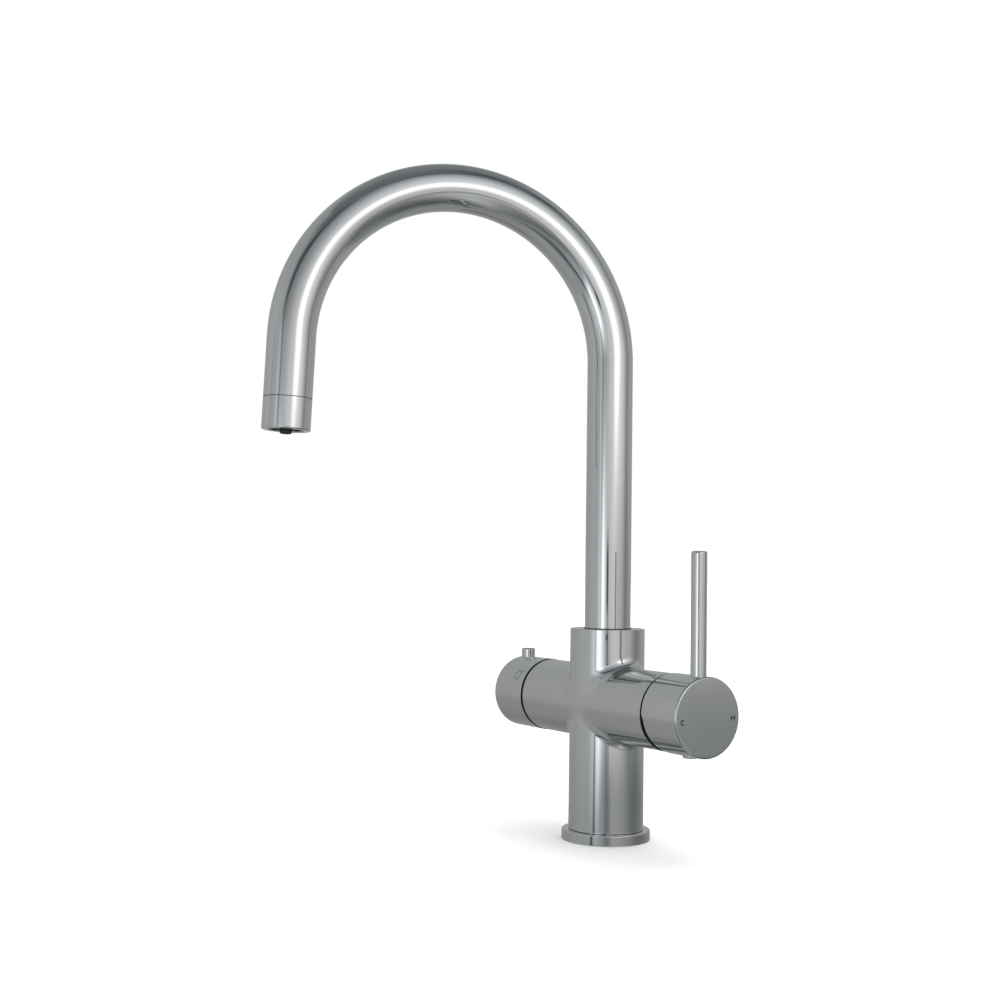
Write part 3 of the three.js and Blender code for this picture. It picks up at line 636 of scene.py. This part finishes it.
# ---------------------------------------------------------------- studio
# A white surround lights the floor. Polished metal sees only a round tent of light panels, which nothing else sees.
scene.view_settings.view_transform = "Standard"
scene.view_settings.look = "None"
world = bpy.data.worlds.new("studio")
scene.world = world
world.use_nodes = True
world.node_tree.nodes["Background"].inputs["Color"].default_value = (1, 1, 1, 1)
world.node_tree.nodes["Background"].inputs["Strength"].default_value = 1.0

TENT_R = 0.95
FRONT = -31.06          # direction of the camera's side, degrees about Z


def smooth(x, a, b):
    t = np.clip((x - a) / (b - a), 0, 1)
    return t * t * (3 - 2 * t)


def bell(x, c, w):
    return np.exp(-((x - c) / w) ** 2)


def flat(x, c, w):
    return np.exp(-((x - c) / w) ** 4)


def tent(az, z):
    """How light the tent's wall is, 0 to 1, at az degrees round from the front and z metres up."""
    up = smooth(z, 0.12, 0.34)
    soft = 1 - smooth(az, -40, -12)
    low = 1 - smooth(z, -0.13 - 0.09 * soft, -0.03 + 0.05 * soft)
    between = smooth(az, -50, -40) * (1 - smooth(az, 93, 128 - 18 * up))
    v = 0.565 - 0.105 * between + 0.045 * bell(az, -85, 28) * (1 - smooth(z, 0.5, 1.0)) - 0.012 * (1 - smooth(z, 0.05, 0.4)) * (1 - between)
    # large panel on the right, with a hot spot, and its light on the table
    c, w = 18 + 17 * up, 48 - 6 * up
    v = v + (0.275 + 0.075 * up) * bell(az, c, w) * (1 - smooth(z, 0.6, 2.05)) * (1 - 0.45 * low) * (1 - smooth(-z, 0.2, 0.36))
    v = v + 0.25 * bell(az, 34 + 5 * smooth(-z, 0.25, 0.5), 21) * smooth(-z, 0.2, 0.29) + 0.04 * bell(az, 12, 12) * bell(z, -0.25, 0.08)
    u = az - 33
    v = v + 0.34 * np.exp(-(u / 16) ** 2 - ((z - 0.47 - 0.0035 * u) / 0.15) ** 2)
    v = v - 0.03 * bell(az, 93, 8) * (1 - low) - 0.05 * bell(az, 66, 12) * bell(z, 0, 0.09)
    # softbox on the left of the front, with a soft top edge
    side = np.where(az < -30, bell(az, -30, 20), bell(az, -30, 13.5))
    v = v + (0.37 * side + 0.12 * bell(az, -30, 7)) * (1 - smooth(z, 0.13, 0.42)) * (1 - 0.72 * low) * (1 - smooth(-z, 0.35, 0.7))
    v = v + 0.12 * smooth(az, -62, -46) * (1 - smooth(az, -4, 14)) * bell(z, 0.36, 0.14)
    v = v + 0.06 * bell(az, -17, 5) * bell(z, 0.04, 0.06) + 0.05 * bell(az, -22, 9) * bell(z, -0.32, 0.1)
    v = v + 0.05 * bell(az, -12, 14) * bell(z, 0.6, 0.12)
    # gap between the two, where the camera looks in
    v = v - 0.07 * bell(az, -6, 7) * (1 - smooth(z, 0.1, 0.3)) - 0.07 * bell(az, -3, 8) * (1 - smooth(z, 0.05, 0.12)) * (1 - smooth(-z, 0.1, 0.3))
    v = v - 0.18 * flat(az, -4.6, 1.8) * (1 - smooth(z, 0.09, 0.11)) * smooth(z, 0, 0.05) + 0.07 * flat(az, 7, 2.4) * smooth(-z, 0, 0.05) * (1 - smooth(-z, 0.06, 0.12))
    v = v - 0.38 * flat(az, -7.2, 4.2) * smooth(z, 0.10, 0.125) * (1 - smooth(z, 0.175, 0.215))
    # dark seams of the tent, and its dim upper corner
    v = v - (0.12 + 0.12 * (1 - smooth(z, -0.1, 0.04))) * flat(az, -40.6, 2.8) * (1 - smooth(z, 0.45, 0.6)) * (1 - smooth(-z, 0.3, 0.5))
    v = v - 0.04 * flat(az, -75, 4) * smooth(z, 0.30, 0.32) * (1 - smooth(z, 0.42, 0.5))
    v = v - 0.26 * smooth(z, 0.4, 0.75) * (1 - 0.38 * smooth(z, 0.95, 1.4)) * bell(az, -46 + 16 * smooth(z, 0.9, 1.6), 5.5 + 15 * smooth(z, 0.6, 1.5))
    v = v - 0.09 * bell(az, -60, 13) * smooth(z, 1.0, 1.6)
    v = v - 0.17 * bell(az, 88, 22) * bell(z, 1.55, 0.35) - 0.04 * smooth(z, 1.1, 1.6) * (1 - between)
    v = v - 0.15 * bell(az, -45, 10) * smooth(-z, 0.18, 0.6) - 0.07 * bell(az, -42, 8) * smooth(-z, 0.12, 0.2) * (1 - smooth(-z, 0.55, 0.8))
    # darker below the table and towards its back, dim above the panels
    v = v * (1 - 0.09 * low) - 0.06 * low * smooth(az, 55, 85) * (1 - smooth(az, 120, 150))
    v = v - 0.09 * smooth(-az, 125, 150) * bell(z, -0.75, 0.28) - 0.08 * bell(az, 108, 14) * smooth(-z, 0.4, 0.7)
    v = v - 0.05 * smooth(np.abs(az), 130, 160) * smooth(z, 0.95, 1.25)
    # right end of the large panel, and small steps in the light on the table
    v = v + 0.07 * bell(az, 66, 15) * smooth(z, 0.02, 0.07) * (1 - smooth(z, 0.38, 0.75)) + 1.3 * z * bell(z, 0, 0.06) * bell(az, 66, 9)
    v = v + 0.065 * bell(az, -15, 9) * smooth(-z, 0.3, 0.45) - 0.06 * bell(az, 4, 7) * bell(z, -0.17, 0.1) + 0.035 * bell(az, -9, 5) * bell(z, -0.17, 0.1)
    v = v + 0.04 * bell(az, 103, 22) * bell(z, -0.27, 0.16) - 0.06 * bell(az, 112, 14) * smooth(-z, 0.9, 1.2)
    v = v + 0.04 * bell(az, -95, 25) * smooth(z, 1.66, 1.8) - 0.04 * bell(az, -57, 8) * bell(z, 1.5, 0.2)
    top = smooth(z, 1.70, 1.86)
    return v * (1 - top) + (0.37 + 0.08 * smooth(np.abs(az - 10), 60, 130) - 0.07 * bell(az, 74, 16)) * top


def light(v):
    """Linear light of a display brightness, seen in metal that returns two thirds of it."""
    v = np.clip(v, 0, 1.2)
    return np.where(v < 0.04045, v / 12.92, ((v + 0.055) / 1.055) ** 2.4) / 0.66


az = np.linspace(-180, 180, 721)[:-1]
levels = [*np.arange(-1.3, -0.31, 0.1), *np.arange(-0.3, 0.7, 0.02), *np.arange(0.7, 2.61, 0.05)]
rows = [(TENT_R, z, tent(az, np.full(720, z))) for z in levels]
foot_ring, head_ring = rows[0][2], rows[-1][2]
rows = [(TENT_R * k, levels[0], 0.46 + (foot_ring - 0.46) * k) for k in (0.05, 0.2, 0.4, 0.6, 0.8)] + rows
rows += [(TENT_R * k, levels[-1], 0.42 + (head_ring - 0.42) * k) for k in (0.8, 0.6, 0.4, 0.2, 0.05)]
a = np.radians(az + FRONT)
tv = np.concatenate([np.stack([r * np.cos(a), r * np.sin(a), np.full(720, z)], 1) for r, z, _ in rows] + [[[0, 0, levels[0]], [0, 0, levels[-1]]]])
glow = np.concatenate([v for _, _, v in rows] + [[0.46, 0.42]])
last = (len(rows) - 1) * 720
tf = [[i * 720 + j, i * 720 + (j + 1) % 720, (i + 1) * 720 + (j + 1) % 720, (i + 1) * 720 + j] for i in range(len(rows) - 1) for j in range(720)]
tf += [[last + 720, (j + 1) % 720, j] for j in range(720)] + [[last + 721, last + j, last + (j + 1) % 720] for j in range(720)]
azs, zs = np.append(np.tile(az, len(rows)), [0, 0]), tv[:, 2]
# how much less red, and how much more blue, than green the light is
high, low = smooth(zs, 0.5, 0.9), smooth(-zs, 0, 0.12)
red = -0.8 - 0.8 * high * (1 - 0.8 * bell(azs, 95, 14)) - 0.8 * smooth(np.abs(azs - 10), 100, 140) * smooth(zs, 0.25, 0.5) * (1 - bell(azs, -130, 30))
red = red - 2.4 * bell(azs, -40, 26) * (1 - smooth(zs, 0.45, 0.65)) * (1 - 0.5 * smooth(-zs, 0.5, 0.9)) + 0.8 * bell(azs, 40, 40) * (1 - high) * (1 - low) - 0.8 * bell(azs, 140, 30) * low - 1.2 * bell(azs, 66, 10) * (1 - smooth(zs, 0.0, 0.03)) * smooth(zs, -0.14, -0.06)
blue = 0.4 + 0.6 * high * bell(azs, 15, 55) + 0.3 * bell(azs, -30, 25) * (1 - high) - 1.5 * bell(azs, -118, 40) * (1 - high) - 0.5 * bell(azs, 65, 45) * (1 - high) * (1 - low) - 1.0 * smooth(-zs, 0.8, 1.2) * (1 - bell(azs, 20, 40))
red, blue = (red + 0.14) / 100, (blue + 0.17) / 100
grey = glow - (red + blue) / 3
rgb = np.stack([grey + red, grey, grey + blue], 1)
me = bpy.data.meshes.new("tent")
me.from_pydata(tv.tolist(), [], tf)
col = me.color_attributes.new("glow", "FLOAT_COLOR", "POINT")
col.data.foreach_set("color", np.concatenate([light(rgb), np.ones((len(glow), 1))], 1).astype(np.float32).ravel())
wall = bpy.data.objects.new("tent", me)
scene.collection.objects.link(wall)
wall.visible_camera = wall.visible_diffuse = wall.visible_transmission = wall.visible_shadow = False
m = bpy.data.materials.new("tent")
m.use_nodes = True
t = m.node_tree
t.nodes.remove(t.nodes["Principled BSDF"])
at = t.nodes.new("ShaderNodeAttribute")
at.attribute_name = "glow"
em = t.nodes.new("ShaderNodeEmission")
t.links.new(at.outputs["Color"], em.inputs["Color"])
t.links.new(em.outputs[0], t.nodes["Material Output"].inputs["Surface"])
me.materials.append(m)


def slit(name, az0, az1, z0, z1):
    """A dark slit in the tent, in front of its wall."""
    n = 12
    d = np.radians(np.linspace(az0, az1, n + 1) + FRONT)
    r = TENT_R - 0.01
    sv = [(r * math.cos(q), r * math.sin(q), h) for h in (z0, z1) for q in d]
    sm = bpy.data.meshes.new(name)
    sm.from_pydata(sv, [], [[k, k + 1, n + 2 + k, n + 1 + k] for k in range(n)])
    dark = bpy.data.materials.new(name)
    dark.use_nodes = True
    nt = dark.node_tree
    nt.nodes.remove(nt.nodes["Principled BSDF"])
    e = nt.nodes.new("ShaderNodeEmission")
    e.inputs["Color"].default_value = (0.02, 0.021, 0.022, 1)
    nt.links.new(e.outputs[0], nt.nodes["Material Output"].inputs["Surface"])
    sm.materials.append(dark)
    so = bpy.data.objects.new(name, sm)
    scene.collection.objects.link(so)
    so.visible_camera = so.visible_diffuse = so.visible_transmission = so.visible_shadow = False


slit("slit", -9.6, -4.0, 0.0745, 0.0812)

FLOOR = material("floor", (0.95, 0.95, 0.95), 0.0, (0.8, 0.9), 6.0, tint=(0.94, 0.94, 0.94), Specular_IOR_Level=0.0)
me = bpy.data.meshes.new("floor")
me.from_pydata([(12 * math.cos(2 * math.pi * i / 96), 12 * math.sin(2 * math.pi * i / 96), 0) for i in range(96)], [], [list(range(96))])
me.materials.append(FLOOR)
floor = bpy.data.objects.new("floor", me)
scene.collection.objects.link(floor)
floor.visible_glossy = False
sun = bpy.data.objects.new("overhead", bpy.data.lights.new("overhead", "SUN"))
sun.data.energy, sun.data.angle = 1.3, math.radians(60)
sun.rotation_euler = (math.radians(-14), math.radians(-10), 0)
sun.visible_glossy = False
scene.collection.objects.link(sun)
